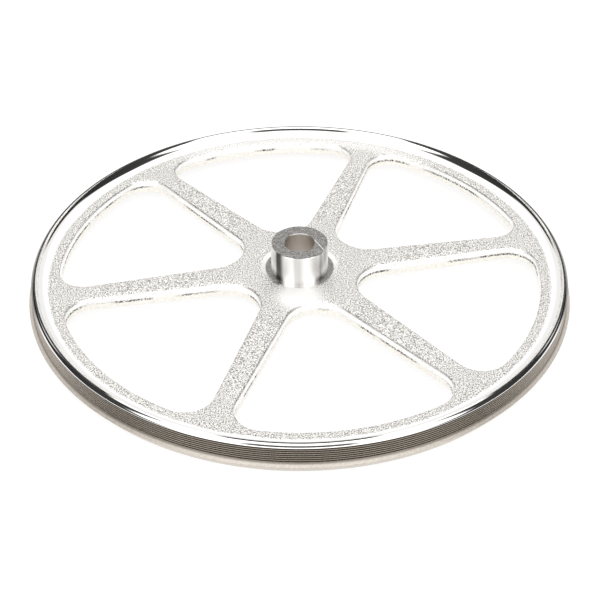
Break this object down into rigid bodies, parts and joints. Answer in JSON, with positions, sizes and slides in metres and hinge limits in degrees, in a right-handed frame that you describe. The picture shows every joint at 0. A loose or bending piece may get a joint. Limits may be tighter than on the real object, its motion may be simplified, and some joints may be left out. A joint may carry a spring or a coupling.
{
  "type": "multi-rib belt pulley",
  "caption": "Large spoked aluminium pulley for a multi-rib belt, with a bored steel hub held on its shaft by set screws.",
  "frame": {"origin": "on the bore axis, at the middle plane of the belt grooves", "axes": "+Z along the bore axis, out of the hub's long end; +X 11.6 degrees clockwise of spoke_1"},
  "size_m": [0.5377, 0.5378, 0.0534],
  "materials": {
    "turned_aluminium": "turned and polished rim, dull oxidised grooves",
    "cast_aluminium": "fine blasted casting skin",
    "polished_steel": "polished outside, matt end face",
    "blackened_steel": "black oxide"
  },
  "bodies": {
    "wheel": {"grooved_rim": "turned_aluminium", "back_flange": "turned_aluminium", "spoke_1": "cast_aluminium", "spoke_2": "cast_aluminium", "spoke_3": "cast_aluminium", "spoke_4": "cast_aluminium", "spoke_5": "cast_aluminium", "spoke_6": "cast_aluminium", "web_arc_1": "cast_aluminium", "web_arc_2": "cast_aluminium", "web_arc_3": "cast_aluminium", "web_arc_4": "cast_aluminium", "web_arc_5": "cast_aluminium", "web_arc_6": "cast_aluminium", "centre_boss": "cast_aluminium", "hub_sleeve": "polished_steel"},
    "set_screw_1": {"set_screw_1": "blackened_steel"},
    "set_screw_2": {"set_screw_2": "blackened_steel"}
  },
  "joints": [
    {"name": "set_screw_1_travel", "type": "slide", "parent": "wheel", "child": "set_screw_1", "axis": [0.5505, 0.8348, 0], "range_m": [0, 0.012]},
    {"name": "set_screw_2_travel", "type": "slide", "parent": "wheel", "child": "set_screw_2", "axis": [-0.8348, 0.5505, 0], "range_m": [0, 0.012]}
  ]
}
